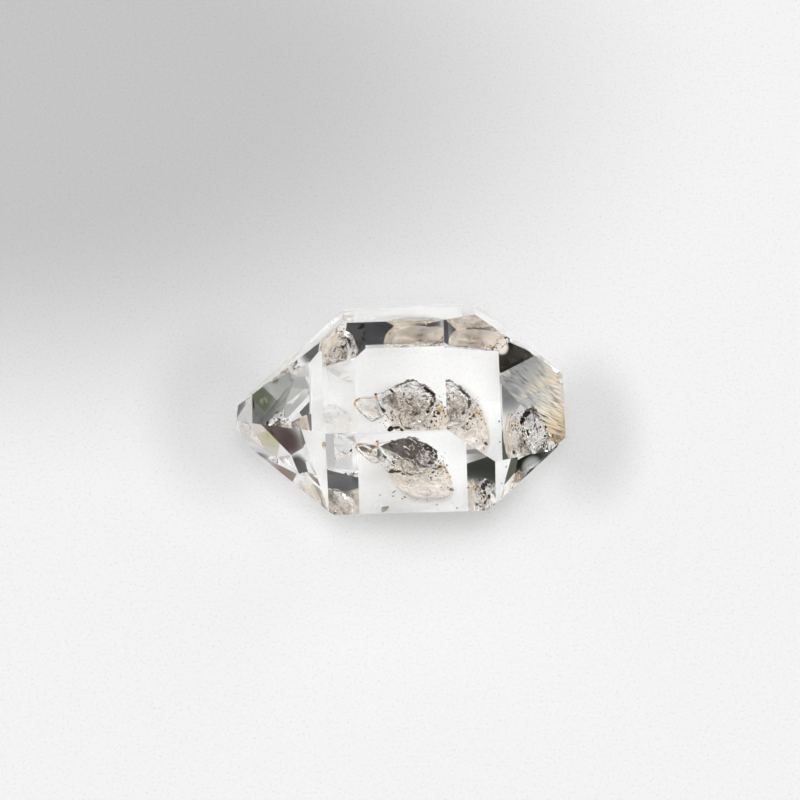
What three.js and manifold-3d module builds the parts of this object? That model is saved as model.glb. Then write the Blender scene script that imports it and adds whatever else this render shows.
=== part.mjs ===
// Herkimer diamond: a clear, double-ended quartz crystal lying on one of its prism faces, with a
// growth inclusion (clay mass, gas-filled cell, carbon and iron stain) sealed inside it.
// Millimetres, +Z up, +X along the crystal's long axis, origin under its middle on the resting face.

import * as THREE from 'three';
import { mergeVertices } from 'three/addons/utils/BufferGeometryUtils.js';
import Module from 'manifold-3d';

const wasm = await Module();
wasm.setup();

// ---------------------------------------------------------------- driving dimensions

// Quartz: the end faces lean this far from the prism faces they grow out of.
const END_LEAN = THREE.MathUtils.degToRad(38.21);

// One row for each of the six sides: its turn about the long axis from straight up (positive
// towards +Y), and how far its prism face, left end face and right end face lie from the centre.
const SIDES = [
  { turn: 0, prism: 6.20, left: 8.27, right: 6.92 },
  { turn: -60, prism: 7.19, left: 8.98, right: 9.80 },
  { turn: -120, prism: 7.68, left: 9.14, right: 9.78 },
  { turn: 180, prism: 6.35, left: 7.00, right: 7.95 },
  { turn: 120, prism: 7.30, left: 7.25, right: 9.46 },
  { turn: 60, prism: 6.33, left: 7.45, right: 8.47 },
];

const ROUGH_BLOCK = 40;
const LEFT_TIP_CHIP = { distance: 11.96, lean: 0.10 };

// The crystal is parted at this height above its resting face, through the inclusion's pocket.
const PARTING_HEIGHT = 3.15;

// The inclusion lies in a sheet that dips towards the right end.
const SHEET_CENTRE = new THREE.Vector3(0.05, -0.01, -3.08);
const SHEET_DIP = THREE.MathUtils.degToRad(27.2);
const SHEET_ROLL = THREE.MathUtils.degToRad(6.2);
const SHEET_GAP = 0.3;

const MASS_THICKNESS = 0.8;
const CELL_THICKNESS = 0.6;
const BAND_THICKNESS = 0.7;
const FLAKE_THICKNESS = 0.3;
const STAIN_RADIUS = 0.2;

// Outlines in the sheet's own plane: x towards the right end, y towards the back.
const MASS_OUTLINE = [
  [-1.15, 0.15], [-0.4, 0.55], [0.9, 0.85], [2.05, 0.5], [2.35, -0.4], [3.1, -1.0], [3.75, -1.9],
  [3.9, -2.75], [3.2, -3.05], [1.6, -2.9], [0.2, -2.65], [-0.35, -1.9], [-1.1, -1.3],
];
const CELL_OUTLINE = [
  [-3.55, -0.45], [-3.25, -0.1], [-2.3, 0.2], [-2.0, -0.3], [-1.55, -1.2], [-1.75, -1.6],
  [-2.4, -1.75], [-2.9, -1.35],
];
const BAND_OUTLINE = [
  [-0.1, 1.0], [0.9, 1.2], [2.3, 0.85], [2.7, -0.2], [3.0, -0.2], [3.0, 0.45], [2.55, 1.2],
  [0.95, 1.55], [-0.1, 1.25],
];
const FLAKE_OUTLINE = [[-1.05, -2.5], [-0.75, -2.2], [-0.5, -2.3], [-0.65, -2.6]];
const STAIN_PLACE = [3.45, -0.55];
const POCKET_OUTLINE = [
  [-3.9, -0.5], [-3.4, 0.3], [-2.2, 0.6], [-1.2, 0.75], [-0.45, 1.5], [0.9, 1.9], [2.7, 1.55],
  [3.45, 0.6], [4.0, -0.6], [4.25, -2.8], [3.4, -3.4], [0.1, -3.0], [-1.2, -2.9], [-2.5, -2.1],
  [-3.2, -1.6],
];

// ---------------------------------------------------------------- solids

function toSolid(geometry) {
  const bare = geometry.clone();
  bare.deleteAttribute('normal');
  bare.deleteAttribute('uv');
  const merged = mergeVertices(bare, 1e-5);
  return new wasm.Manifold(new wasm.Mesh({
    numProp: 3,
    vertProperties: new Float32Array(merged.attributes.position.array),
    triVerts: new Uint32Array(merged.index.array),
  }));
}

function toGeometry(solid) {
  const mesh = solid.getMesh();
  const geometry = new THREE.BufferGeometry();
  geometry.setAttribute('position', new THREE.BufferAttribute(mesh.vertProperties, 3));
  geometry.setIndex(new THREE.BufferAttribute(mesh.triVerts, 1));
  return geometry;
}

// Takes away all that lies further out than `distance` along the direction `outward`.
function cleave(solid, outward, distance) {
  const waste = new THREE.BoxGeometry(ROUGH_BLOCK * 2, ROUGH_BLOCK * 2, ROUGH_BLOCK);
  waste.translate(0, 0, distance + ROUGH_BLOCK / 2);
  const turn = new THREE.Quaternion().setFromUnitVectors(new THREE.Vector3(0, 0, 1), outward);
  waste.applyQuaternion(turn);
  return solid.subtract(toSolid(waste));
}

// The crystal about its own centre: six prism faces, six faces at each end, and a chipped tip.
function growCrystal() {
  let crystal = toSolid(new THREE.BoxGeometry(ROUGH_BLOCK, ROUGH_BLOCK, ROUGH_BLOCK));
  for (const side of SIDES) {
    const turn = THREE.MathUtils.degToRad(side.turn);
    const across = new THREE.Vector3(0, Math.sin(turn), Math.cos(turn));
    const left = across.clone().multiplyScalar(Math.cos(END_LEAN)).setX(-Math.sin(END_LEAN));
    const right = left.clone().setX(Math.sin(END_LEAN));
    crystal = cleave(crystal, across, side.prism);
    crystal = cleave(crystal, left, side.left);
    crystal = cleave(crystal, right, side.right);
  }
  const chip = new THREE.Vector3(-Math.cos(LEFT_TIP_CHIP.lean), 0, Math.sin(LEFT_TIP_CHIP.lean));
  return cleave(crystal, chip, LEFT_TIP_CHIP.distance);
}

// Turns something drawn flat on the sheet's plane into the crystal's own frame.
function layOnSheet(geometry) {
  geometry.rotateX(SHEET_ROLL);
  geometry.rotateY(SHEET_DIP);
  geometry.translate(SHEET_CENTRE.x, SHEET_CENTRE.y, SHEET_CENTRE.z);
  return geometry;
}

function slab(outline, thickness, edge) {
  const shape = new THREE.Shape(outline.map(([x, y]) => new THREE.Vector2(x, y)));
  const geometry = new THREE.ExtrudeGeometry(shape, {
    depth: thickness - 2 * edge,
    bevelEnabled: edge > 0,
    bevelThickness: edge,
    bevelSize: edge,
    bevelOffset: -edge,
    bevelSegments: 2,
  });
  geometry.translate(0, 0, edge - thickness / 2);
  return layOnSheet(geometry);
}

function grain([x, y], radius) {
  const geometry = new THREE.IcosahedronGeometry(radius, 1);
  geometry.translate(x, y, 0);
  return layOnSheet(geometry);
}

// ---------------------------------------------------------------- assembly

const crystal = growCrystal();
const pocket = toSolid(slab(POCKET_OUTLINE, MASS_THICKNESS + 2 * SHEET_GAP, 0.2));
const hollowed = crystal.subtract(pocket);

const UP = new THREE.Vector3(0, 0, 1);
const DOWN = new THREE.Vector3(0, 0, -1);
const restingDistance = SIDES[3].prism;
const partingZ = PARTING_HEIGHT - restingDistance;

const parts = [
  ['crystal_upper', toGeometry(cleave(hollowed, DOWN, -partingZ)), 0xf1f4f5, 0.03],
  ['crystal_lower', toGeometry(cleave(hollowed, UP, partingZ)), 0xf1f4f5, 0.03],
  ['inclusion_mass', slab(MASS_OUTLINE, MASS_THICKNESS, 0.15), 0xc9bcae, 0.6],
  ['inclusion_cell', slab(CELL_OUTLINE, CELL_THICKNESS, 0.15), 0xd8cfae, 0.25],
  ['carbon_band', slab(BAND_OUTLINE, BAND_THICKNESS, 0.05), 0x1c1714, 0.45],
  ['carbon_flake', slab(FLAKE_OUTLINE, FLAKE_THICKNESS, 0.05), 0x14110f, 0.4],
  ['iron_stain', grain(STAIN_PLACE, STAIN_RADIUS), 0xb97a26, 0.7],
];

const outside = toGeometry(crystal);
outside.computeBoundingBox();
const middle = outside.boundingBox.getCenter(new THREE.Vector3());

const herkimer = new THREE.Group();
herkimer.position.set(-middle.x, -middle.y, restingDistance);
for (const [name, geometry, color, roughness] of parts) {
  const material = new THREE.MeshStandardMaterial({ color, roughness, metalness: 0 });
  const mesh = new THREE.Mesh(geometry, material);
  mesh.name = name;
  herkimer.add(mesh);
}

export default herkimer;
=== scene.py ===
# %% [markdown]
# # A herkimer diamond
#
# A clear, double-ended quartz crystal lies on one of its prism faces on a pale table. Flat faces
# bend the light, so the same dark inclusion shows several times through different faces. Most of
# the look comes from three things: exact crystal angles, a true index of refraction, and a room
# with dark and light parts for the inner reflections to pick up.

# %% Load the frame
import random
from math import cos, pi, radians, sin

import bmesh
import bpy
from mathutils import Matrix, Vector, noise


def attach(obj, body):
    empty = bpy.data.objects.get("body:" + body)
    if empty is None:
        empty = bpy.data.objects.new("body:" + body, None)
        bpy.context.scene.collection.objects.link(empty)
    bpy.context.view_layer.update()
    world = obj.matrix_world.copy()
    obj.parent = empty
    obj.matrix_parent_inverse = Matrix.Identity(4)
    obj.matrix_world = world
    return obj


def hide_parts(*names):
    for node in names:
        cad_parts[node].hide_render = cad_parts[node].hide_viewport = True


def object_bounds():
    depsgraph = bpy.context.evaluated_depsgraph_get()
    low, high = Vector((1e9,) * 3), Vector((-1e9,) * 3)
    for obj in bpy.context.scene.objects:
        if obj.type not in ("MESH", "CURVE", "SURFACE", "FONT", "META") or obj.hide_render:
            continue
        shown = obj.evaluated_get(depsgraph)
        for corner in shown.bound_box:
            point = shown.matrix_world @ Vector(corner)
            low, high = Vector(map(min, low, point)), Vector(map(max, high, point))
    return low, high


MM = 0.001

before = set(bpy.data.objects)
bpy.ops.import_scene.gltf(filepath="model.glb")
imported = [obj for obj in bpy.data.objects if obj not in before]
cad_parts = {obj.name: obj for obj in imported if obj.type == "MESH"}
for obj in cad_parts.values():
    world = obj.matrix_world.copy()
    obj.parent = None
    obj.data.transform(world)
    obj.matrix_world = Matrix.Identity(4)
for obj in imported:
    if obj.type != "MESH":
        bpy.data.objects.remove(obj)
cad_box = [list(corner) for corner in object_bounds()]
cad_low, cad_high = Vector(cad_box[0]), Vector(cad_box[1])
print("crystal box in mm:", [round(side / MM, 2) for side in cad_high - cad_low])

# %% [markdown]
# ## The crystal
#
# Quartz grows six prism faces round its long axis and six leaning faces at each end. The angle
# between an end face and the prism face below it is always 38.21 degrees, so a real crystal is
# described by how far each face lies from its middle. Cutting a block with one plane for each
# face gives flat faces that meet exactly, which no amount of moving vertices by hand would.

# %% Face distances
END_LEAN = radians(38.21)
ROUGH_BLOCK = 40 * MM

# turn about the long axis from straight up, then the distances of the prism, left and right faces
SIDES = (
    (0, 6.20, 8.27, 6.92),
    (-60, 7.19, 8.98, 9.80),
    (-120, 7.68, 9.14, 9.78),
    (180, 6.35, 7.00, 7.95),
    (120, 7.30, 7.25, 9.46),
    (60, 6.33, 7.45, 8.47),
)
LEFT_TIP_CHIP = 11.96
CHIP_LEAN = 0.10
print("faces to cut:", 3 * len(SIDES) + 1)

# %% Cutting
ON_PLANE = 1e-9


def cut_away(mesh, place, outward):
    """Removes what lies past a plane; returns what the cut leaves on it."""
    everything = mesh.verts[:] + mesh.edges[:] + mesh.faces[:]
    cut = bmesh.ops.bisect_plane(
        mesh, geom=everything, dist=ON_PLANE, plane_co=place, plane_no=outward, clear_outer=True
    )
    return cut["geom_cut"]


def cleave(mesh, outward, distance):
    """Cuts away what lies further out than the distance, and closes the cut with one face."""
    on_cut = cut_away(mesh, outward * distance * MM, outward)
    rim = [part for part in on_cut if isinstance(part, bmesh.types.BMEdge)]
    if rim:
        bmesh.ops.edgeloop_fill(mesh, edges=rim)


def grow_crystal():
    """Returns the crystal about its own middle, one flat face for each crystal face."""
    mesh = bmesh.new()
    bmesh.ops.create_cube(mesh, size=ROUGH_BLOCK)
    for turn, prism, left, right in SIDES:
        across = Vector((0, sin(radians(turn)), cos(radians(turn))))
        along = Vector((sin(END_LEAN), 0, 0))
        cleave(mesh, across, prism)
        cleave(mesh, across * cos(END_LEAN) - along, left)
        cleave(mesh, across * cos(END_LEAN) + along, right)
    cleave(mesh, Vector((-cos(CHIP_LEAN), 0, sin(CHIP_LEAN))), LEFT_TIP_CHIP)
    return mesh


def box_of(mesh):
    """Lowest and highest corners of a mesh in the making."""
    low = Vector(min(v.co[axis] for v in mesh.verts) for axis in range(3))
    high = Vector(max(v.co[axis] for v in mesh.verts) for axis in range(3))
    return low, high


# %% Crystal mesh
crystal_mesh = grow_crystal()
low, high = box_of(crystal_mesh)
crystal_middle = (cad_low + cad_high) / 2 - (low + high) / 2
bmesh.ops.translate(crystal_mesh, verts=crystal_mesh.verts, vec=crystal_middle)
print("crystal faces:", len(crystal_mesh.faces), "middle in mm:", [round(c / MM, 3) for c in crystal_middle])


# %% Adding objects and pieces
def show(name, data):
    """Adds an object at the origin that holds a mesh, curve or camera."""
    shown = bpy.data.objects.new(name, data)
    bpy.context.scene.collection.objects.link(shown)
    return shown


def as_object(mesh, name, material, smooth=False):
    """Turns a bmesh into an object at the origin, and prints how many faces it has."""
    data = bpy.data.meshes.new(name)
    mesh.to_mesh(data)
    mesh.free()
    data.materials.append(material)
    if smooth:
        data.shade_smooth()
    print(name, "faces:", len(data.polygons))
    return show(name, data)


def finish_piece(mesh, name, material, smooth=False):
    """Turns a bmesh into a piece that rides on the body."""
    piece = as_object(mesh, name, material, smooth)
    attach(piece, "root")
    return piece


# %% [markdown]
# ## Clear quartz
#
# Rock crystal is as clear as the best glass. It could be mixed from a glass and a see-through
# shader, but then light would pass straight where it should bend. Plain transmission with quartz's
# own index keeps every inner mirror image, and a weak absorption in the volume gives the longest
# paths through the crystal their slight grey.

# %% Quartz finish
QUARTZ_IOR = 1.544
QUARTZ_TINT = (0.93, 0.95, 0.96)
QUARTZ_DENSITY = 1.5


def new_finish(name):
    """A node material; returns it with its nodes, its links and its main shader."""
    finish = bpy.data.materials.new(name)
    finish.use_nodes = True
    tree = finish.node_tree
    print("finish:", name)
    return finish, tree.nodes, tree.links, tree.nodes["Principled BSDF"]


quartz, nodes, links, gloss = new_finish("clear_quartz")
gloss.inputs["Base Color"].default_value = (1, 1, 1, 1)
gloss.inputs["Roughness"].default_value = 0.0
gloss.inputs["IOR"].default_value = QUARTZ_IOR
gloss.inputs["Transmission Weight"].default_value = 1.0
absorb = nodes.new("ShaderNodeVolumeAbsorption")
absorb.inputs["Color"].default_value = (*QUARTZ_TINT, 1)
absorb.inputs["Density"].default_value = QUARTZ_DENSITY
links.new(absorb.outputs["Volume"], nodes["Material Output"].inputs["Volume"])

# %% Clear crystal
crystal = finish_piece(crystal_mesh, "clear_crystal", quartz)
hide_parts("crystal_upper", "crystal_lower")

# %% [markdown]
# ## What lies sealed inside
#
# The inclusion is a pocket that the crystal grew round: pale clay lies below, and above it a sheet
# of trapped gas with carbon on its rim. It is drawn on a fine grid that starts at the crystal's
# middle. Each lump is a hull round a few corners, cut finer and roughened, because a hull follows
# the corners that can be measured and needs no list of faces.

# %% Drawing grid
GRID = 0.0733 * MM
SHEET_HEIGHT = -43.4
SHEET_DIP = 0.518
SHEET_ROLL = 0.108


def spot(x, y, z):
    """A place inside the crystal, in grid steps from its middle."""
    return crystal_middle + Vector((x, y, z)) * GRID


def sheet(x, y, lift):
    """A place over the sheet that the gas lies in, which dips towards the right end."""
    return x, y, SHEET_HEIGHT - SHEET_DIP * x + SHEET_ROLL * y + lift


print("one grid step in mm:", round(GRID / MM, 4))

# %% Roughening
CALM_SHARE = 0.25
ROUGHER_OVER = 14


def with_normals(mesh):
    """Every vertex with a copy of its normal, so that moving one doesn't turn the next."""
    mesh.normal_update()
    return [(vert, vert.normal.copy()) for vert in mesh.verts]


def roughen(mesh, bump, grain, shift=0.0, rougher_from=None):
    """Moves vertices along their normals by smooth noise; sizes are in grid steps.

    With `rougher_from`, the bumps grow from the calm share to full size past that x.
    """
    for vert, outward in with_normals(mesh):
        move = noise.noise(vert.co / (grain * GRID) + Vector((shift, 0, 0)))
        if rougher_from is not None:
            past = ((vert.co - crystal_middle).x / GRID - rougher_from) / ROUGHER_OVER
            move *= CALM_SHARE + (1 - CALM_SHARE) * min(max(past, 0), 1)
        vert.co += outward * (move * bump * GRID)


def swell(mesh, lift):
    """Moves every vertex outwards along its normal by `lift` grid steps."""
    for vert, outward in with_normals(mesh):
        vert.co += outward * (lift * GRID)


# %% Lumps
MOST_CUTS = 6


def lump(corners, fine, soften=2):
    """Skins corners with a closed hull and cuts it until no edge is longer than `fine` grid steps."""
    mesh = bmesh.new()
    for corner in corners:
        mesh.verts.new(spot(*corner))
    hull = bmesh.ops.convex_hull(mesh, input=mesh.verts)
    inside = [part for part in hull["geom_interior"] if isinstance(part, bmesh.types.BMVert)]
    bmesh.ops.delete(mesh, geom=inside, context="VERTS")
    for _ in range(MOST_CUTS):
        long = [edge for edge in mesh.edges if edge.calc_length() > fine * GRID]
        if not long:
            break
        bmesh.ops.subdivide_edges(mesh, edges=long, cuts=1)
        bmesh.ops.triangulate(mesh, faces=mesh.faces)
    for _ in range(soften):
        bmesh.ops.smooth_vert(
            mesh, verts=mesh.verts, factor=0.5, use_axis_x=True, use_axis_y=True, use_axis_z=True
        )
    bmesh.ops.recalc_face_normals(mesh, faces=mesh.faces)
    return mesh


# %% [markdown]
# ## Uneven finishes
#
# Nothing that grew in the crystal has one even colour. Painted maps would need an image, so each
# finish is worked out from noise on object coordinates, which stays put on the piece. A few small
# helpers add one node each, and the finishes below are chains of them.


# %% Noise
def cloud(nodes, links, size, stretch=(1, 1, 1), detail=5, turn=(0, 0, 0), rough=0.62):
    """Noise on object coordinates, with lumps about `size` grid steps across; returns its value."""
    place = nodes.new("ShaderNodeTexCoord")
    turned = nodes.new("ShaderNodeMapping")
    turned.inputs["Scale"].default_value = stretch
    turned.inputs["Rotation"].default_value = turn
    links.new(place.outputs["Object"], turned.inputs["Vector"])
    noise_node = nodes.new("ShaderNodeTexNoise")
    noise_node.inputs["Scale"].default_value = 1 / (size * GRID)
    noise_node.inputs["Detail"].default_value = detail
    noise_node.inputs["Roughness"].default_value = rough
    links.new(turned.outputs["Vector"], noise_node.inputs["Vector"])
    return noise_node.outputs["Fac"]


# %% Values
def feed(links, socket, value):
    """Links a socket to another one, or sets it to a number, a vector or a colour."""
    if isinstance(value, bpy.types.NodeSocket):
        links.new(value, socket)
    elif socket.type == "RGBA":
        socket.default_value = (*value, 1)
    else:
        socket.default_value = value


def spread(nodes, links, value, low, high, new_low, new_high, soft=False):
    """Stretches a value from low..high to new_low..new_high, clamped; `soft` eases both ends."""
    scale = nodes.new("ShaderNodeMapRange")
    if soft:
        scale.interpolation_type = "SMOOTHSTEP"
    scale.inputs["From Min"].default_value = low
    scale.inputs["From Max"].default_value = high
    scale.inputs["To Min"].default_value = new_low
    scale.inputs["To Max"].default_value = new_high
    links.new(value, scale.inputs["Value"])
    return scale.outputs["Result"]


def maths(nodes, links, operation, first, second):
    """One step of arithmetic; returns its value."""
    step = nodes.new("ShaderNodeMath")
    step.operation = operation
    feed(links, step.inputs[0], first)
    feed(links, step.inputs[1], second)
    return step.outputs["Value"]


def vector_maths(nodes, links, operation, first, second=(0, 0, 0)):
    """One step of arithmetic on places or directions; returns its value or vector."""
    step = nodes.new("ShaderNodeVectorMath")
    step.operation = operation
    feed(links, step.inputs[0], first)
    feed(links, step.inputs[1], second)
    return step.outputs["Value" if operation in ("DOT_PRODUCT", "LENGTH") else "Vector"]


# %% Colours
def tint(nodes, links, value, stops):
    """Colours a value by a ramp of (position, colour) stops."""
    ramp = nodes.new("ShaderNodeValToRGB")
    line = ramp.color_ramp
    while len(line.elements) < len(stops):
        line.elements.new(0.5)
    for element, (position, colour) in zip(line.elements, stops):
        element.position = position
        element.color = (*colour, 1)
    links.new(value, ramp.inputs["Fac"])
    return ramp.outputs["Color"]


def mix_colours(nodes, links, share, under, over):
    """Goes from the colour `under` to the colour `over` as the share rises; returns the colour."""
    mix = nodes.new("ShaderNodeMix")
    mix.data_type = "RGBA"
    links.new(share, mix.inputs["Factor"])
    first, second = [socket for socket in mix.inputs if socket.type == "RGBA"]
    feed(links, first, under)
    feed(links, second, over)
    return next(socket for socket in mix.outputs if socket.type == "RGBA")


# %% [markdown]
# ## Pale clay
#
# The lower part is a thin cloud of pinkish clay that lets most light through: against white it
# nearly vanishes, and against dark it shows beige. A surface with a low, uneven alpha gives both
# looks, since the background then decides how strongly it shows. Low down and towards the back the
# colour turns brown: painted shade of the underside, which the light from above hardly reaches.

# %% Clay corners
# those of the top lie over the gas sheet, and those at the foot in the crystal's own grid
CLAY_TOP = (
    (-21, -5, -8), (-14, -13, -8), (-9, -20, -8), (0, -25, -7), (12, -26, -7), (26, -20, -9),
    (34, 0, -11), (25, 9, -14), (5, 6, -14), (-6, -4, -11), (44, -24, -5), (44, -8, -8),
)
CLAY_LOW = (
    (-14, -6, -77), (-4, -14, -86), (-5, -27, -84), (3, -38, -80), (12, -45, -76), (27, -50, -75),
    (38, -50, -75), (47, -47, -75), (52, -34, -76), (49, -15, -80), (42, 3, -75), (2, 9, -82), (38, 8, -74),
)
print("clay corners:", len(CLAY_TOP) + len(CLAY_LOW))

# %% Clay finish
CLAY_FOOT = -76
FOOT_DEPTH = 10
CLAY_FRONT = -34
THIN_FRONT = (-18, -7)
FRONT_FADE = (0, 14)
PALE_TINTS = (
    (0.31, (0.36, 0.25, 0.18)), (0.38, (0.86, 0.76, 0.68)), (0.50, (0.97, 0.90, 0.84)),
    (0.64, (1.0, 0.98, 0.96)),
)
# painted shade: the brown of the clay's underside and back, where little light reaches it
UNDERSIDE_SHADE_TINTS = (
    (0.31, (0.22, 0.15, 0.10)), (0.39, (0.80, 0.66, 0.50)), (0.50, (1.0, 0.89, 0.73)),
    (0.62, (1.0, 0.98, 0.92)),
)

clay_finish, nodes, links, gloss = new_finish("pale_clay")
apart = nodes.new("ShaderNodeSeparateXYZ")
links.new(nodes.new("ShaderNodeTexCoord").outputs["Object"], apart.inputs["Vector"])


def over_foot(at_foot, above):
    """A value that changes with height over the lowest part of the clay."""
    low = crystal_middle.z + CLAY_FOOT * GRID
    return spread(nodes, links, apart.outputs["Z"], low, low + FOOT_DEPTH * GRID, at_foot, above)


def behind_front(start, end, before, after):
    """A value that changes from front to back, between two distances behind the clay's front."""
    front = crystal_middle.y + CLAY_FRONT * GRID
    return spread(nodes, links, apart.outputs["Y"], front + start * GRID, front + end * GRID, before, after)


streaks = cloud(nodes, links, 11, stretch=(0.4, 1.4, 2.4), turn=(0, 0.35, 0), detail=6, rough=0.68)
pale = tint(nodes, links, streaks, PALE_TINTS)
# painted shade: low down and towards the back the pale clay gives way to this brown
brown = tint(nodes, links, streaks, UNDERSIDE_SHADE_TINTS)
low_and_back = maths(nodes, links, "MULTIPLY", over_foot(1.0, 0.0), behind_front(*FRONT_FADE, 0.0, 1.0))
links.new(mix_colours(nodes, links, low_and_back, pale, brown), gloss.inputs["Base Color"])

veil = cloud(nodes, links, 10, stretch=(0.5, 1.2, 1.8), turn=(0, 0.3, 0), detail=6, rough=0.62)
cover = spread(nodes, links, veil, 0.38, 0.62, 0.05, 0.60)
cover = maths(nodes, links, "MULTIPLY", cover, behind_front(*FRONT_FADE, 1.2, 0.38))
cover = maths(nodes, links, "ADD", cover, over_foot(0.30, 0.0))
cover = maths(nodes, links, "MULTIPLY", cover, behind_front(*THIN_FRONT, 0.1, 1.0))
links.new(cover, gloss.inputs["Alpha"])
gloss.inputs["Roughness"].default_value = 0.8
gloss.inputs["Specular IOR Level"].default_value = 0.0

# %% Clay cloud
clay_mesh = lump([sheet(*corner) for corner in CLAY_TOP] + list(CLAY_LOW), 2.2)
roughen(clay_mesh, 2.4, 14)
roughen(clay_mesh, 0.7, 6)
clay_cloud = finish_piece(clay_mesh, "clay_cloud", clay_finish, smooth=True)
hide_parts("inclusion_mass")

# %% [markdown]
# ## Trapped gas
#
# The upper sheet is a flat, bumpy pocket of gas. Light bends away from quartz as it enters gas, so
# the pocket is clear where it is seen straight on and turns dark like a mirror where it is seen at
# a slant. A dark paint would be dark from every side. With the index of gas in quartz, 1 / 1.544,
# the same shape gives the clear dome from above and the dark one from the front.

# %% Gas finish
GAS_IN_QUARTZ = 1 / QUARTZ_IOR
GAS_TINTS = ((0.32, (0.84, 0.76, 0.68)), (0.45, (0.96, 0.94, 0.92)), (0.6, (1, 1, 1)))

gas_finish, nodes, links, gloss = new_finish("trapped_gas")
nodes.remove(gloss)
glass = nodes.new("ShaderNodeBsdfGlass")
glass.inputs["IOR"].default_value = GAS_IN_QUARTZ
glass.inputs["Roughness"].default_value = 0.0
links.new(tint(nodes, links, cloud(nodes, links, 6), GAS_TINTS), glass.inputs["Color"])
links.new(glass.outputs["BSDF"], nodes["Material Output"].inputs["Surface"])

# %% Gas dome
DOME_BACK = (
    (-12, 8, -1), (0, 16, -1), (13, 21.5, -2), (25, 17.5, -1.5), (31, 14, -1), (36.5, 7, 0), (36, -3, 2),
    (34, -10, 3),
)
DOME_RIDGE = (
    (28, -20, 5.5), (15, -24, 6.5), (8, -18, 5.5), (-2, -12, 3.8), (-13, -4, 1.4), (-22, -2, 0), (-17, -6, 1),
)
DOME_LOBE = ((24, -23, 0), (15, -27, 0), (6, -31, 0), (1, -26, 0), (-1, -18, 0))
DOME_FOOT = (
    (-10, 0, -5), (0, 8, -7), (13, 13, -9), (25, 10, -8), (31, 0, -6), (24, -14, -5), (10, -14, -4),
    (0, -8, -4),
)


def dome_skin():
    """The dome with its large bumps, which the film on it shares."""
    skin = lump([sheet(*corner) for corner in DOME_BACK + DOME_RIDGE + DOME_LOBE + DOME_FOOT], 1.4)
    roughen(skin, 1.0, 10, rougher_from=6)
    return skin


dome_mesh = dome_skin()
roughen(dome_mesh, 0.30, 3.5, shift=5, rougher_from=10)
gas_dome = finish_piece(dome_mesh, "gas_dome", gas_finish, smooth=True)

# %% [markdown]
# ## Brown film on the dome
#
# Thin brown veins and small blotches stick to the wall of the gas pocket. They could be hundreds
# of tiny threads, but they follow the wall so closely that a second skin is simpler. It lies just
# outside the dome and is clear all over but for the veins. Noise that is cut to one narrow band
# of its values leaves winding lines, and a second noise breaks them up.

# %% Film finish
FILM_TINTS = ((0.38, (0.03, 0.02, 0.015)), (0.52, (0.13, 0.08, 0.06)), (0.66, (0.34, 0.25, 0.19)))
VEIN_BAND = (
    (0.0, (0, 0, 0)), (0.458, (0, 0, 0)), (0.466, (0.9, 0.9, 0.9)), (0.480, (0.9, 0.9, 0.9)),
    (0.488, (0, 0, 0)), (1.0, (0, 0, 0)),
)

stain_finish, nodes, links, gloss = new_finish("dome_stain")
links.new(tint(nodes, links, cloud(nodes, links, 2.5), FILM_TINTS), gloss.inputs["Base Color"])
veins = tint(nodes, links, cloud(nodes, links, 9, detail=1.5, rough=0.5), VEIN_BAND)
unbroken = spread(nodes, links, cloud(nodes, links, 5, detail=2), 0.46, 0.54, 0.0, 1.0)
short_veins = maths(nodes, links, "MULTIPLY", veins, unbroken)
specked = cloud(nodes, links, 3.2, stretch=(1, 1.6, 1), turn=(0, 0, 0.6), detail=4)
blotches = spread(nodes, links, specked, 0.595, 0.65, 0.0, 0.85)
links.new(maths(nodes, links, "MAXIMUM", short_veins, blotches), gloss.inputs["Alpha"])
gloss.inputs["Roughness"].default_value = 0.7
gloss.inputs["Specular IOR Level"].default_value = 0.1

# %% Brown film
FILM_LIFT = 0.7

stain_mesh = dome_skin()
swell(stain_mesh, FILM_LIFT)
dome_stain = finish_piece(stain_mesh, "dome_stain", stain_finish, smooth=True)

# %% [markdown]
# ## Gas cell
#
# At the sheet's left end the gas fills a flat, clear cell. It could be the end of the dome, but it
# is even and round-edged where the dome is bumpy. So it is a lump of its own, smoothed more often
# and hardly roughened.

# %% Gas cell
CELL_EDGE = (
    (-45.5, -9, 0), (-44, -6, 0), (-40, -3.5, 0), (-35, -2, 0), (-29, -1, 0), (-24, 0, 0), (-20, -8, 0),
    (-16, -17, 0), (-19, -22, 0), (-25, -25, 0), (-31, -24.5, 0), (-37, -21, 0), (-41.5, -16, 0),
    (-44.5, -12, 0),
)
CELL_RIDGE = ((-40, -15, 1.9), (-34, -19, 2.9), (-26, -20, 2.9), (-21, -17, 2.3))
CELL_FOOT = ((-38, -10, -4), (-30, -8, -6), (-24, -10, -5), (-30, -18, -4))

cell_mesh = lump([sheet(*corner) for corner in CELL_EDGE + CELL_RIDGE + CELL_FOOT], 1.4, soften=5)
roughen(cell_mesh, 0.35, 7)
gas_cell = finish_piece(cell_mesh, "gas_cell", gas_finish, smooth=True)
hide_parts("inclusion_cell")

# %% [markdown]
# ## Carbon
#
# Black flakes of carbon sit on the rim of the gas sheet and float round it. They are thin, ragged
# chips of many sizes. One round shape, flattened, turned and roughened by a seeded noise, gives
# each of them its own outline.

# %% Carbon finish
CARBON_TINTS = ((0.40, (0.008, 0.006, 0.005)), (0.62, (0.035, 0.02, 0.013)), (0.75, (0.11, 0.06, 0.03)))

carbon_finish, nodes, links, gloss = new_finish("carbon_black")
links.new(tint(nodes, links, cloud(nodes, links, 3), CARBON_TINTS), gloss.inputs["Base Color"])
gloss.inputs["Roughness"].default_value = 0.5
gloss.inputs["Specular IOR Level"].default_value = 0.15

# %% Ragged chips
RAGGED_SHARE = 0.55
RAGGED_SIZE = 2.4
NEXT_OUTLINE = 7.3
THINNEST = 0.8


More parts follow.
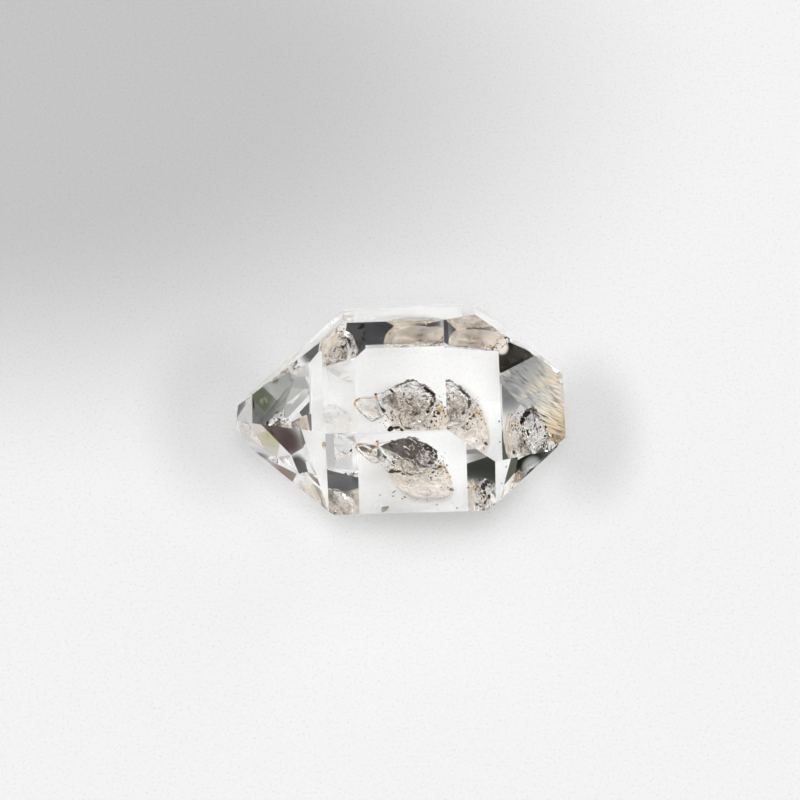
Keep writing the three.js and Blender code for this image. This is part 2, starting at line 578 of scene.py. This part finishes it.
def chip(mesh, place, length, width, turn, seed, thick=0.8):
    """Adds one ragged flake: its size in grid steps and its turn in degrees, seen from above."""
    made = bmesh.ops.create_icosphere(mesh, subdivisions=2, radius=0.5 * GRID)["verts"]
    for vert in made:
        where = vert.co / GRID * RAGGED_SIZE + Vector((seed * NEXT_OUTLINE, 0, 0))
        vert.co *= 1 + RAGGED_SHARE * noise.noise(where)
    bmesh.ops.scale(mesh, verts=made, vec=(length, width, max(width * thick, THINNEST)))
    bmesh.ops.rotate(mesh, verts=made, matrix=Matrix.Rotation(radians(turn), 3, "Z"))
    bmesh.ops.translate(mesh, verts=made, vec=spot(*place))


def chips(rows, first_seed, thick=0.8):
    """A mesh with one ragged flake for each row of place, length, width and turn."""
    mesh = bmesh.new()
    for seed, (place, length, width, turn) in enumerate(rows, first_seed):
        chip(mesh, place, length, width, turn, seed, thick)
    return mesh


# %% Flakes
FLAKES = (
    # place, length, width, turn seen from above
    ((-10, -33, -40), 7, 4.8, 35), ((-4, -31, -43), 6.5, 3.2, 8), ((1, -33, -46), 5, 2.8, -42),
    ((8, -30, -52), 4, 1.8, 0), ((-17, -13, -38), 8, 2.8, -52), ((-8, -25, -35), 2.6, 2.2, 0),
    ((-8, 6, -34), 6.5, 2.6, -36), ((-24, 1, -26), 2.8, 2.4, 20), ((-9, -15, -45), 2.2, 2.0, 0),
    ((13, -19, -55), 4.2, 1.8, 90), ((28, -11, -55), 6, 3.8, 80), ((38, -13, -62), 3.6, 3, 30),
    ((34, -16, -62), 4.4, 2.2, 0), ((34, -12, -60), 3.2, 1.6, 75), ((31, -22, -60), 4, 2.6, 60),
    ((17, -25, -54), 2.4, 1.8, 0), ((23, -25, -68), 5, 3, 0), ((38, -37, -71), 3.8, 2.6, 60),
    ((49, -39, -73), 5, 3.4, -40), ((20, -12, -56), 3.6, 3, 70), ((18, -8, -54), 2.6, 2, 0),
    ((12, 0, -48), 3, 1.8, 60), ((11, -14, -51), 2, 1.6, 0), ((-9, -35, -80), 4.6, 1.2, 45),
    ((-10, -41, -80), 2.4, 1.4, -20), ((2, -43, -80), 3.2, 1.5, -35), ((-1, -44, -82), 2, 1.4, 0),
    ((37, -39, -80), 2, 1.4, 0), ((34, -53, -83), 2, 1.4, 0), ((54, -59, -83), 1.8, 1.4, 0),
    ((-23, -37, -83), 1.8, 1.0, 20), ((66, -14, -74), 2, 2, 0), ((66, -36, -74), 2, 1.6, 0),
    ((48, -17, -78), 2, 1.2, 0), ((44, -10, -74), 2, 1.0, -40),
)
carbon_flakes = finish_piece(chips(FLAKES, 0), "carbon_flakes", carbon_finish, smooth=True)
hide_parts("carbon_flake")
print("carbon flakes:", len(FLAKES))

# %% Carbon crust on the rim
CRUST = (
    ((26, 12, -54), 4.8, 3.4, -20), ((29, 10, -56), 5, 4, -30), ((32, 8, -57), 4.4, 3.6, -45),
    ((34, 6, -58), 4.4, 3.6, -60), ((34, 1, -61), 6, 4, 85), ((34, -2, -62), 4.4, 3.4, 60),
    ((32, -4, -62), 3.2, 1.8, 10),
)
carbon_crust = finish_piece(chips(CRUST, 50, thick=1.6), "carbon_crust", carbon_finish, smooth=True)
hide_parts("carbon_band")

# %% [markdown]
# ## Specks
#
# Between the flakes hang hundreds of specks, too many to place one by one. They are the same chips,
# thrown at random over patches of the sheet. The seed makes each run throw them alike, and those
# that would fall below the resting face are folded back up.

# %% Scattered specks
random.seed(7)
LOWEST_SPECK = -79
SPECK_WIDTHS = (0.35, 0.9)
SPECK_PATCHES = (
    # how many, then the range of their x, y, lift over the sheet and length, then the first seed
    (84, (8, 46), (-28, 8), (-10, 3), (0.8, 2.4), 200),
    (50, (-22, 22), (-30, 12), (-8, 3), (0.8, 1.9), 300),
    (30, (2, 52), (-50, -16), (-24, -4), (0.8, 2.0), 400),
    (30, (2, 46), (-52, -26), (-27, -14), (0.7, 1.8), 500),
    (60, (0, 46), (-26, 8), (-34, -18), (0.8, 2.4), 600),
)


def scatter(mesh, count, x_range, y_range, lift_range, lengths, first_seed):
    """Adds small ragged chips at random places over the sheet."""
    for index in range(count):
        x, y, z = sheet(random.uniform(*x_range), random.uniform(*y_range), random.uniform(*lift_range))
        if z < LOWEST_SPECK:
            z = LOWEST_SPECK + (LOWEST_SPECK - z) / 2
        length = random.uniform(*lengths)
        width = length * random.uniform(*SPECK_WIDTHS)
        chip(mesh, (x, y, z), length, width, random.uniform(0, 180), first_seed + index)


speck_mesh = bmesh.new()
for patch in SPECK_PATCHES:
    scatter(speck_mesh, *patch)
specks = finish_piece(speck_mesh, "carbon_specks", carbon_finish, smooth=True)

# %% [markdown]
# ## Gas bubbles
#
# Small flat bubbles of gas lie on and round the sheet. Even rows of them would look made, and round
# ones would all shine alike. Each is a squashed ball with a random length, width and tilt, so that
# only some of them flash.

# %% Gas bubbles
BUBBLE_PATCHES = (
    # how many, then the range of their x, y, lift over the sheet and length
    (18, (8, 36), (-24, 10), (4, 8), (1.4, 4.5)),
    (22, (-12, 40), (-34, -16), (-6, 3), (1.2, 4.0)),
)
BUBBLE_WIDTHS = (0.8, 1.8)
BUBBLE_TILTS = (("X", 22), ("Y", 22), ("Z", 180))
BUBBLE_HEIGHT = 0.45


def bubble(mesh, x, y, lift, length, width):
    """Adds a small flat gas bubble with a random tilt."""
    made = bmesh.ops.create_icosphere(mesh, subdivisions=3, radius=0.5 * GRID)["verts"]
    bmesh.ops.scale(mesh, verts=made, vec=(length, width, BUBBLE_HEIGHT * width))
    for axis, tilt in BUBBLE_TILTS:
        swing = Matrix.Rotation(radians(random.uniform(-tilt, tilt)), 3, axis)
        bmesh.ops.rotate(mesh, verts=made, matrix=swing)
    bmesh.ops.translate(mesh, verts=made, vec=spot(*sheet(x, y, lift)))


bubble_mesh = bmesh.new()
for count, *ranges in BUBBLE_PATCHES:
    for _ in range(count):
        bubble(bubble_mesh, *[random.uniform(*limits) for limits in (*ranges, BUBBLE_WIDTHS)])
bubbles = finish_piece(bubble_mesh, "gas_bubbles", gas_finish, smooth=True)

# %% [markdown]
# ## Iron stain
#
# Iron oxide left a few golden grains at the right end and a golden edge round the gas cell. The
# grains are chips too, and only their finish, golden and a little see-through, sets them apart.

# %% Iron finish
GOLD_TINTS = ((0.35, (0.22, 0.10, 0.02)), (0.5, (0.62, 0.36, 0.08)), (0.7, (0.86, 0.66, 0.30)))

iron_finish, nodes, links, gloss = new_finish("iron_gold")
links.new(tint(nodes, links, cloud(nodes, links, 2), GOLD_TINTS), gloss.inputs["Base Color"])
links.new(spread(nodes, links, cloud(nodes, links, 2), 0.35, 0.5, 0.55, 0.95), gloss.inputs["Alpha"])
gloss.inputs["Roughness"].default_value = 0.5

# %% Iron grains
GRAINS = (
    ((40, -7, -70), 4.6, 3.8, 0), ((37, -6, -69), 2.6, 1.4, -20), ((49, -47, -62), 4.4, 2, 80),
    ((29, -45, -79), 2.6, 2, 0), ((6, -26, -74), 2.2, 1.8, 0), ((9, -37, -81), 5, 1.2, 0),
    ((43, -8, -72), 2.6, 1.2, -45),
)
iron_grains = finish_piece(chips(GRAINS, 80), "iron_grains", iron_finish, smooth=True)
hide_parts("iron_stain")

# %% [markdown]
# ## Rims and films
#
# Seen end on, the edge of a gas pocket is a thin line: golden where iron has stained it, and dark
# where carbon lines it. Chips in a row would look like beads. A curve with a thickness at each
# point draws such a line exactly where it runs, and a little noise makes it look grown.

# %% Threads
THREAD_SEED = 5
CUTS_PER_STEP = 5
WOBBLE_GRAIN = 0.4
THICKNESS_GRAIN = 1.7
THICKNESS_SWING = 1.3
THINNEST_SHARE = 0.2
UPWARD_SHARE = 0.4

# without a seed, noise vectors come out otherwise in each run
noise.seed_set(THREAD_SEED)


def wobbled(run, wobble):
    """Cuts a run finer and shifts its points and thickness by smooth noise, so it looks grown."""
    points = []
    for start, end in zip(run, run[1:]):
        for step in range(CUTS_PER_STEP):
            points.append(Vector(start).lerp(Vector(end), step / CUTS_PER_STEP))
    points.append(Vector(run[-1]))
    for point in points:
        where = Vector(point[:3]) * WOBBLE_GRAIN
        shift = noise.noise_vector(where) * wobble
        thin = 1 + THICKNESS_SWING * noise.noise(where * THICKNESS_GRAIN + Vector((9, 0, 0)))
        point[0] += shift.x
        point[1] += shift.y
        point[2] += UPWARD_SHARE * shift.z
        point[3] *= max(thin, THINNEST_SHARE)
    return points


def thread(name, runs, finish, wobble):
    """Thin round threads; each run is a list of places with a thickness, in grid steps."""
    curve = bpy.data.curves.new(name, "CURVE")
    curve.dimensions = "3D"
    curve.bevel_depth = GRID
    curve.bevel_resolution = 2
    curve.resolution_u = 2
    curve.use_fill_caps = True
    for run in runs:
        points = wobbled(run, wobble)
        line = curve.splines.new("NURBS")
        line.points.add(len(points) - 1)
        line.order_u = 3
        line.use_endpoint_u = True
        for point, (x, y, z, thick) in zip(line.points, points):
            point.co = (*spot(x, y, z), 1)
            point.radius = thick / 2
    curve.materials.append(finish)
    piece = show(name, curve)
    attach(piece, "root")
    print(name, "threads:", len(runs))
    return piece


def on_sheet(*run):
    """The same run, with each height taken as a lift over the sheet."""
    return [(*sheet(x, y, lift), thick) for x, y, lift, thick in run]


# %% Gas curls
random.seed(11)
CURLS = 10
CURL_STEPS = 5
CURL_STRIDE = 2.6
CURL_BEND = 1.3


def curl():
    """A short winding run of gas over the right part of the dome."""
    x, y, turn = random.uniform(6, 32), random.uniform(-22, 6), random.uniform(0, 2 * pi)
    run = []
    for _ in range(CURL_STEPS):
        run.append((*sheet(x, y, random.uniform(7.5, 9)), random.uniform(0.6, 1.3)))
        turn += random.uniform(-CURL_BEND, CURL_BEND)
        x, y = x + CURL_STRIDE * cos(turn), y + CURL_STRIDE * sin(turn)
    return run


gas_curls = thread("gas_curls", [curl() for _ in range(CURLS)], gas_finish, 0.8)

# %% Golden rims
GOLD_RUNS = (
    on_sheet((-23, 1, 0, 0.6), (-29, -1, 0, 0.35), (-35, -2, 0, 0.7), (-41, -4, 0, 1.6), (-45, -7.5, 0, 1.9),
             (-45, -12, 0, 1.5), (-41, -17, 0, 1.1), (-38, -20, 0, 0.6)),
    [(-23, -3, -31, 1.6), (-23, -2.5, -25, 2.2), (-23, -2, -19, 1.0)],
    [(40, -6, -69, 0.8), (43, -8, -72, 0.7), (46, -12, -76, 0.5), (48, -17, -79, 0.4), (50, -24, -79, 0.3)],
)
gold_rims = thread("golden_rims", GOLD_RUNS, iron_finish, 1.0)

# %% [markdown]
# ## Green grain
#
# One dull green grain lies near the foot, left of the clay. Two overlapping chips give it a nick,
# which one chip alone wouldn't have.

# %% Green grain
GREEN_TINTS = ((0.40, (0.16, 0.17, 0.10)), (0.60, (0.55, 0.56, 0.46)))
GREEN_CHIPS = (((-19, -57, -83), 7, 5.5, 25), ((-16, -55, -83), 3.5, 3, 60))

green_finish, nodes, links, gloss = new_finish("green_grain")
links.new(tint(nodes, links, cloud(nodes, links, 2), GREEN_TINTS), gloss.inputs["Base Color"])
links.new(spread(nodes, links, cloud(nodes, links, 3), 0.35, 0.65, 0.9, 0.45), gloss.inputs["Alpha"])
gloss.inputs["Roughness"].default_value = 0.5
green_grain = finish_piece(chips(GREEN_CHIPS, 120), "green_grain", green_finish, smooth=True)

# %% [markdown]
# ## Dark films
#
# Carbon also lies along the edges of the dome and the cell as thin dark films. They are threads as
# the golden rims are, in a black that thins out here and there.

# %% Dark film finish
DARK_TINTS = ((0.35, (0.02, 0.015, 0.012)), (0.65, (0.14, 0.12, 0.10)))

film_finish, nodes, links, gloss = new_finish("carbon_film")
links.new(tint(nodes, links, cloud(nodes, links, 3), DARK_TINTS), gloss.inputs["Base Color"])
links.new(spread(nodes, links, cloud(nodes, links, 2.5), 0.38, 0.62, 0.95, 0.15), gloss.inputs["Alpha"])
gloss.inputs["Roughness"].default_value = 0.6
gloss.inputs["Specular IOR Level"].default_value = 0.1

# %% Dark films
FILM_RUNS = (
    on_sheet((-37, -20, 0, 0.5), (-29, -26, 0, 0.8), (-20, -22.5, 0, 0.8), (-17, -19, 0, 0.5)),
    on_sheet((-24, 1, 0, 0.5), (-20, -8, 0, 0.8), (-16, -17, 0, 0.8), (-12, -21, 0, 0.7), (-8, -24, 0, 0.5)),
    on_sheet((-22, 2, 0, 0.6), (-12, 8, 0, 0.8)),
    on_sheet((-4, 11, 0, 1.6), (0, 14, 0, 2.4), (6, 17.5, 0, 2.6), (13, 20, 0, 2.2), (18, 19, 0, 1.2)),
    on_sheet((18, 17, 0, 1.0), (25, 15, 0, 1.4), (29, 12, 0, 1.4)),
    on_sheet((12, 15, 2, 0.9), (20, 13, 2, 1.0), (27, 9, 2, 0.8)),
    [(9, -1, -50, 0.8), (14, -5, -53, 1.4), (18, -8, -56, 1.4), (21, -6, -58, 1.0)],
    [(19, -8, -56, 0.8), (16, -12, -53, 1.2), (14, -14, -51, 0.8)],
    [(11, 0, -50, 1.2), (13, 3, -51, 0.8)],
    on_sheet((-1, -17, 0, 0.8), (0, -24, 0, 1.2), (4, -30, 0, 1.8), (9, -31, 0, 1.2), (14, -29, 0, 0.6)),
)
dark_films = thread("carbon_films", FILM_RUNS, film_finish, 1.6)

# %% [markdown]
# ## Brown clay
#
# Between the gas cell and the dome lies a wedge of darker, olive brown clay. The pale clay's finish
# could turn brown there, but this patch has a sharp edge, so it is a small lump of its own with a
# coarse, half clear finish.

# %% Brown clay
OLIVE_TINTS = ((0.36, (0.05, 0.035, 0.025)), (0.5, (0.22, 0.18, 0.12)), (0.64, (0.42, 0.38, 0.28)))
BROWN_CORNERS = (
    (-20, 0, -6), (-12, 6, -7), (-2, 11, -8), (0, 4, -9), (-1, -4, -9), (2, -8, -9), (0, -12, -8),
    (-3, -12, -7), (-11, -9, -6), (-16, -5, -6), (-8, 0, -9),
)

brown_finish, nodes, links, gloss = new_finish("brown_clay")
links.new(tint(nodes, links, cloud(nodes, links, 4), OLIVE_TINTS), gloss.inputs["Base Color"])
links.new(spread(nodes, links, cloud(nodes, links, 5), 0.40, 0.60, 0.75, 0.05), gloss.inputs["Alpha"])
gloss.inputs["Roughness"].default_value = 0.8
gloss.inputs["Specular IOR Level"].default_value = 0.0
brown_mesh = lump([sheet(*corner) for corner in BROWN_CORNERS], 1.6)
roughen(brown_mesh, 2.2, 5)
roughen(brown_mesh, 0.8, 2.5)
brown_clay = finish_piece(brown_mesh, "brown_clay", brown_finish, smooth=True)

# %% [markdown]
# ## Table
#
# The crystal lies on white paper with faint fibres. Its own shade could be traced, but in the even
# light of this room it comes out too weak. So shade is painted into the paper's colour, which darkens
# softly in a few oval patches: round the crystal, at its two ends and in front, and far away to the
# left and back, where the light falls off.

# %% Paper
PAPER_TINTS = ((0.30, (0.80, 0.80, 0.82)), (0.42, (0.90, 0.90, 0.905)), (0.70, (0.935, 0.935, 0.94)))
SHADE_CORE = 0.3
SHADES = (
    # middle and size in grid steps, then the darkest factor: the light's fall towards the far left
    # corner, then all round the crystal, at its left end, at its right end and in front
    ((-400, 400), (800, 470), 0.62),
    ((0, 0), (220, 180), 0.94),
    ((-188, 20), (95, 130), 0.86),
    ((192, -8), (72, 110), 0.81),
    ((26, -72), (135, 78), 0.81),
)

paper, nodes, links, gloss = new_finish("pale_paper")
place = nodes.new("ShaderNodeTexCoord").outputs["Object"]
paper_and_painted_shade = tint(nodes, links, cloud(nodes, links, 2.6, detail=3), PAPER_TINTS)
# each patch multiplies painted shade into the fibres' colour
for (x, y), (wide, deep), darkest in SHADES:
    inward = vector_maths(nodes, links, "SUBTRACT", place, spot(x, y, 0))
    fitted = vector_maths(nodes, links, "MULTIPLY", inward, (1 / (wide * GRID), 1 / (deep * GRID), 0))
    away = vector_maths(nodes, links, "LENGTH", fitted)
    fade = spread(nodes, links, away, SHADE_CORE, 1.0, darkest, 1.0, soft=True)
    paper_and_painted_shade = vector_maths(nodes, links, "MULTIPLY", paper_and_painted_shade, fade)
links.new(paper_and_painted_shade, gloss.inputs["Base Color"])
gloss.inputs["Roughness"].default_value = 0.9
gloss.inputs["Specular IOR Level"].default_value = 0.0

# %% Table
TABLE_SIDE = 900 * MM
TABLE_GAP = 0.01 * MM

table_mesh = bmesh.new()
bmesh.ops.create_grid(table_mesh, x_segments=1, y_segments=1, size=TABLE_SIDE / 2)
bmesh.ops.translate(table_mesh, verts=table_mesh.verts, vec=(0, 0, -TABLE_GAP))
table = as_object(table_mesh, "table", paper)

# %% [markdown]
# ## Camera
#
# The crystal is looked at steeply from above. Near to it a camera would make its parallel edges
# run together, so this one stands far away with a long lens, at the distance where one grid step
# fills one pixel of a picture 800 pixels wide.

# %% Camera
VIEW_TURN = radians(0.40)
VIEW_HEIGHT = radians(69.34)
VIEW_ROLL = radians(-2.11)
SENSOR = 36.0
IMAGE_SIDE = 800
GRIDS_AWAY = 3500
CLIP_START = 10 * MM

camera_data = bpy.data.cameras.new("camera")
camera_data.sensor_width = SENSOR
camera_data.lens = SENSOR * GRIDS_AWAY / IMAGE_SIDE
camera_data.clip_start = CLIP_START
camera = show("camera", camera_data)
turn = Matrix.Rotation(VIEW_TURN, 4, "Z")
tip = Matrix.Rotation(pi / 2 - VIEW_HEIGHT, 4, "X")
roll = Matrix.Rotation(VIEW_ROLL, 4, "Z")
facing = turn @ tip @ roll
back = facing.to_3x3() @ Vector((0, 0, 1))
camera.matrix_world = Matrix.Translation(crystal_middle + back * GRID * GRIDS_AWAY) @ facing
bpy.context.scene.camera = camera
print("camera lens in mm:", round(camera_data.lens, 1))

# %% [markdown]
# ## Room
#
# A clear crystal shows what stands round it, bent and mirrored, so plain white would leave it empty.
# The table is lit by an even pale world with one brighter patch near the top. Reflections and
# refractions see a light tent instead: a dome close to the crystal, with soft dark, green and
# golden cards on it. Because the dome is near, each face shows a gradient and not one flat tone.

# %% Light paths
# light that enters the crystal meets many faces before it leaves, so no bounce or bright spot is cut off
bpy.context.scene.view_settings.view_transform = "Standard"
light_paths = bpy.context.scene.cycles
light_paths.max_bounces = 32
light_paths.transmission_bounces = 32
light_paths.glossy_bounces = 32
light_paths.transparent_max_bounces = 24
light_paths.sample_clamp_indirect = 0
light_paths.blur_glossy = 0
print("bounces:", light_paths.max_bounces)


# %% Soft cards
def direction(turn, height):
    """Unit vector towards a compass turn from +X and a height over the horizon, in degrees."""
    turn, height = radians(turn), radians(height)
    return Vector((cos(turn) * cos(height), sin(turn) * cos(height), sin(height)))


def soft_card(nodes, links, way, under, turn, height, half, blur, colour):
    """Lays a round soft-edged card over the colour `under`; returns the new colour."""
    aim = vector_maths(nodes, links, "DOT_PRODUCT", way, direction(turn, height))
    rim, core = cos(radians(half + blur)), cos(radians(max(half - blur, 0)))
    share = spread(nodes, links, aim, rim, core, 0.0, 1.0, soft=True)
    return mix_colours(nodes, links, share, under, colour)


# %% World light
WALLS = (0.78, 0.78, 0.775)
TOP_LIGHT = (-80, 80, 10, 4, (7.0, 7.0, 6.95))

world = bpy.data.worlds.new("room")
world.use_nodes = True
bpy.context.scene.world = world
nodes, links = world.node_tree.nodes, world.node_tree.links
way = nodes.new("ShaderNodeTexCoord").outputs["Generated"]
links.new(soft_card(nodes, links, way, WALLS, *TOP_LIGHT), nodes["Background"].inputs["Color"])
print("world:", world.name)

# %% Light tent
TENT_RADIUS = 24 * MM

tent_mesh = bmesh.new()
bmesh.ops.create_icosphere(tent_mesh, subdivisions=5, radius=TENT_RADIUS)
bmesh.ops.translate(tent_mesh, verts=tent_mesh.verts, vec=crystal_middle)
cut_away(tent_mesh, (0, 0, 0), (0, 0, -1))
bmesh.ops.reverse_faces(tent_mesh, faces=tent_mesh.faces)

tent_finish, nodes, links, gloss = new_finish("light_tent")
nodes.remove(gloss)
glow = nodes.new("ShaderNodeEmission")
links.new(glow.outputs["Emission"], nodes["Material Output"].inputs["Surface"])
place = nodes.new("ShaderNodeTexCoord").outputs["Object"]
from_middle = vector_maths(nodes, links, "SUBTRACT", place, crystal_middle)
way = vector_maths(nodes, links, "NORMALIZE", from_middle)

# %% Dry leaves
HAIR_LENGTH = 0.050
HAIR_WIDTH = 0.0027
HAIR_COLOUR = (0.03, 0.022, 0.018)
LEAF_TINTS = (
    (0.0, (0.31, 0.33, 0.34)), (0.4, (0.52, 0.53, 0.52)), (0.58, (0.94, 0.86, 0.68)),
    (0.78, (0.82, 0.60, 0.34)), (1.0, (0.17, 0.12, 0.07)),
)


def along(vector):
    """How far a tent place lies along a vector, as a socket."""
    return vector_maths(nodes, links, "DOT_PRODUCT", way, vector)


def dry_leaf(turn, height, gold_side, grain_side, reach):
    """A grey to golden colour with short dark hairs; the sides are small (turn, height) steps."""
    centre = direction(turn, height)
    gold = (direction(turn + gold_side[0], height + gold_side[1]) - centre).normalized()
    grain = (direction(turn + grain_side[0], height + grain_side[1]) - centre).normalized()
    start = centre.dot(gold)
    fade = spread(nodes, links, along(gold), start + reach[0], start + reach[1], 0, 1)
    leaf = tint(nodes, links, fade, LEAF_TINTS)
    on_leaf = nodes.new("ShaderNodeCombineXYZ")
    for axis, (vector, size) in enumerate(((grain, HAIR_LENGTH), (grain.cross(centre), HAIR_WIDTH))):
        links.new(maths(nodes, links, "DIVIDE", along(vector), size), on_leaf.inputs[axis])
    hairs = nodes.new("ShaderNodeTexNoise")
    hairs.inputs["Scale"].default_value = 1.0
    hairs.inputs["Detail"].default_value = 1.5
    links.new(on_leaf.outputs["Vector"], hairs.inputs["Vector"])
    hairy = spread(nodes, links, hairs.outputs["Fac"], 0.54, 0.565, 0, 0.95)
    return mix_colours(nodes, links, hairy, leaf, HAIR_COLOUR)


# %% Mottled brown
MOTTLED_TINTS = ((0.44, (0.009, 0.006, 0.005)), (0.54, (0.040, 0.024, 0.018)), (0.65, (0.22, 0.15, 0.12)))


def mottled():
    """Brown-black with dim streaks, which the gas dome mirrors."""
    blotches = nodes.new("ShaderNodeTexNoise")
    blotches.inputs["Scale"].default_value = 34
    blotches.inputs["Detail"].default_value = 5
    blotches.inputs["Distortion"].default_value = 0.6
    links.new(way, blotches.inputs["Vector"])
    return tint(nodes, links, blotches.outputs["Fac"], MOTTLED_TINTS)


# %% [markdown]
# ## Cards
#
# Which part of the room a face shows follows from the crystal's angles, so each card's place was
# found by following a line of sight from the camera through the crystal until it leaves. Cut-out
# objects would do as well, but a soft round spot on the tent is easier to move and to tone.

# %% Cards
TENT_CARDS = (
    # turn, height, half, blur, colour
    # dark ones for the bands along the upper edge
    (90, 80, 9, 2, (0.035, 0.038, 0.045)),
    (159, 65, 8, 2.5, (0.045, 0.046, 0.05)),
    (140, 78, 7, 2, (0.035, 0.036, 0.04)),
    (97, 65, 7, 2, (0.05, 0.05, 0.05)),
    (163, 70, 4, 1.5, (0.86, 0.78, 0.72)),
    (11, 64, 5, 2, (0.42, 0.41, 0.38)),
    (29, 71, 4, 3, (0.66, 0.65, 0.64)),
    # brown and blue-black ones behind the gas dome and the front left band
    (40, 15, 17, 4, "mottled"),
    (19, 13, 6, 3, (0.22, 0.16, 0.08)),
    (31, 21.5, 4.5, 1.5, (0.015, 0.017, 0.028)),
    (173, 26, 4, 2, (0.25, 0.22, 0.16)),
    (30, -4.5, 4, 3, (0.19, 0.13, 0.10)),
    (34, 0, 3, 3, (0.40, 0.38, 0.36)),
    # green ones for the right bands
    (145, 25.5, 4, 1.2, (0.004, 0.009, 0.001)),
    (-71, 45, 5, 2, (0.02, 0.03, 0.015)),
    (-59, 41, 4, 2, (0.03, 0.03, 0.03)),
    (148, -6.5, 6, 3, (0.010, 0.014, 0.006)),
    (149.2, -6.0, 1.6, 1.0, (0.46, 0.46, 0.44)),
    (151, 7, 4, 2, (0.07, 0.07, 0.045)),
    (-33, -14, 5, 2, (0.04, 0.04, 0.04)),
    (125, 68, 4, 2, (0.06, 0.075, 0.04)),
    (100, 46, 4, 2, (0.08, 0.09, 0.055)),
    (-34, 29, 3.5, 1.5, (0.12, 0.13, 0.08)),
    (159, -5, 3, 2, (0.62, 0.58, 0.53)),
    # green and grey ones for the upper left face
    (149, 33, 4, 2, (0.12, 0.14, 0.09)),
    (168, 14, 8, 3, (0.03, 0.035, 0.03)),
    (162, 43, 5, 2, (0.10, 0.11, 0.09)),
    (-6, 11, 6, 4, (0.14, 0.15, 0.125)),
    (152, 25.5, 3, 1.5, (0.50, 0.50, 0.49)),
    (-150, 25, 5, 3, (0.27, 0.28, 0.26)),
    (-147.5, 23.5, 2, 2, (0.02, 0.02, 0.02)),
    (-152, -4, 4, 2, (0.55, 0.54, 0.51)),
    (-131, 8, 4, 2, (0.01, 0.015, 0.0)),
    (-132, -10, 4, 2, (0.55, 0.54, 0.52)),
    (1, -7, 6, 2, (0.36, 0.36, 0.35)),
    (-17, 28, 3.8, 1, (0.07, 0.07, 0.075)),
    (76, -14, 6.5, 3, (0.11, 0.11, 0.10)),
    (59, 60, 3, 1.5, (0.12, 0.11, 0.10)),
    # black ones for the upper right face and the upper left window
    (98, -10.5, 5, 2.5, (0.16, 0.16, 0.16)),
    (3, 10, 7, 2, (0.03, 0.03, 0.03)),
    (-132, 29, 9, 2, (0.008, 0.008, 0.008)),
    (-134.6, 27, 1.5, 0.4, (0.90, 0.83, 0.76)),
    (38, -9, 4, 1.5, (0.06, 0.05, 0.05)),
    (-49, 22, 4, 2, (0.10, 0.10, 0.10)),
    (-41, 12, 6, 2, (0.012, 0.012, 0.012)),
    # plum, cream and grey ones for the lower left face
    (-14, 5, 4, 2, (0.078, 0.045, 0.042)),
    (-154, -14, 6, 2, (0.08, 0.08, 0.08)),
    (-93, -1, 4, 3, (0.70, 0.64, 0.59)),
    (-67, -5, 3.5, 2, (0.66, 0.65, 0.64)),
    (-69, 20, 4, 2, (0.50, 0.49, 0.50)),
    (-176, 7, 4, 3, (0.58, 0.57, 0.47)),
    (-176, 4.5, 3, 2, (0.50, 0.50, 0.28)),
    (-17.5, 25, 1.8, 1, (0.035, 0.035, 0.035)),
    (61, 52, 4, 2, (0.32, 0.28, 0.25)),
    (-84, 6, 4, 3, (0.42, 0.40, 0.38)),
    # grey ones for the bands between the front windows
    (-103, -2, 3, 2, (0.30, 0.28, 0.26)),
    (-88, 29, 4, 2, (0.17, 0.165, 0.16)),
    (-75, -2, 4, 2, (0.52, 0.51, 0.52)),
    (103, 20, 4, 3, (0.64, 0.61, 0.59)),
    (155, 12, 3, 2, (0.66, 0.65, 0.64)),
)
SPARK_BLUR = 1
SPARK_LIGHTS = (
    # turn, height, half, power
    (-40, 62, 5, 6), (45, 45, 5, 6), (-150, 72, 4, 6), (-50, 6, 3, 5), (70, 20, 4, 5), (-165, 35, 4, 5),
    (120, 25, 4, 5),
)
LEAF_BLUR = 1.5
LEAVES = (
    # turn, height, half, then the golden side, the grain's side and how far the change reaches
    (-168, 14, 7.5, (2, 5), (0.08, 0.15), (-0.10, 0.16)),
    (-105, 37, 8, (-5, 1), (-0.25, 0.08), (-0.14, 0.16)),
    (-82, 39, 8, (-5, 1), (-0.13, 0.15), (-0.16, 0.10)),
)
print("cards:", len(TENT_CARDS), "lights:", len(SPARK_LIGHTS), "leaves:", len(LEAVES))

# %% Tent colour
TENT_WALLS = (0.82, 0.82, 0.81)
TENT_TOP_LIGHT = (-80, 79, 12, 3, (7.0, 7.0, 6.9))

colour = soft_card(nodes, links, way, TENT_WALLS, *TENT_TOP_LIGHT)
for *place_and_size, shade in TENT_CARDS:
    if shade == "mottled":
        shade = mottled()
    colour = soft_card(nodes, links, way, colour, *place_and_size, shade)
for turn, height, half, power in SPARK_LIGHTS:
    colour = soft_card(nodes, links, way, colour, turn, height, half, SPARK_BLUR, (power, power, power))
for turn, height, half, gold_side, grain_side, reach in LEAVES:
    leaf = dry_leaf(turn, height, gold_side, grain_side, reach)
    colour = soft_card(nodes, links, way, colour, turn, height, half, LEAF_BLUR, leaf)
links.new(colour, glow.inputs["Color"])

# %% Tent
# it is seen only by rays that the crystal bends or mirrors, and its bright spots aren't lamps
tent = as_object(tent_mesh, "light_tent", tent_finish)
tent.visible_camera = False
tent.visible_diffuse = False
tent.visible_shadow = False
tent.visible_volume_scatter = False
tent_finish.cycles.emission_sampling = "NONE"
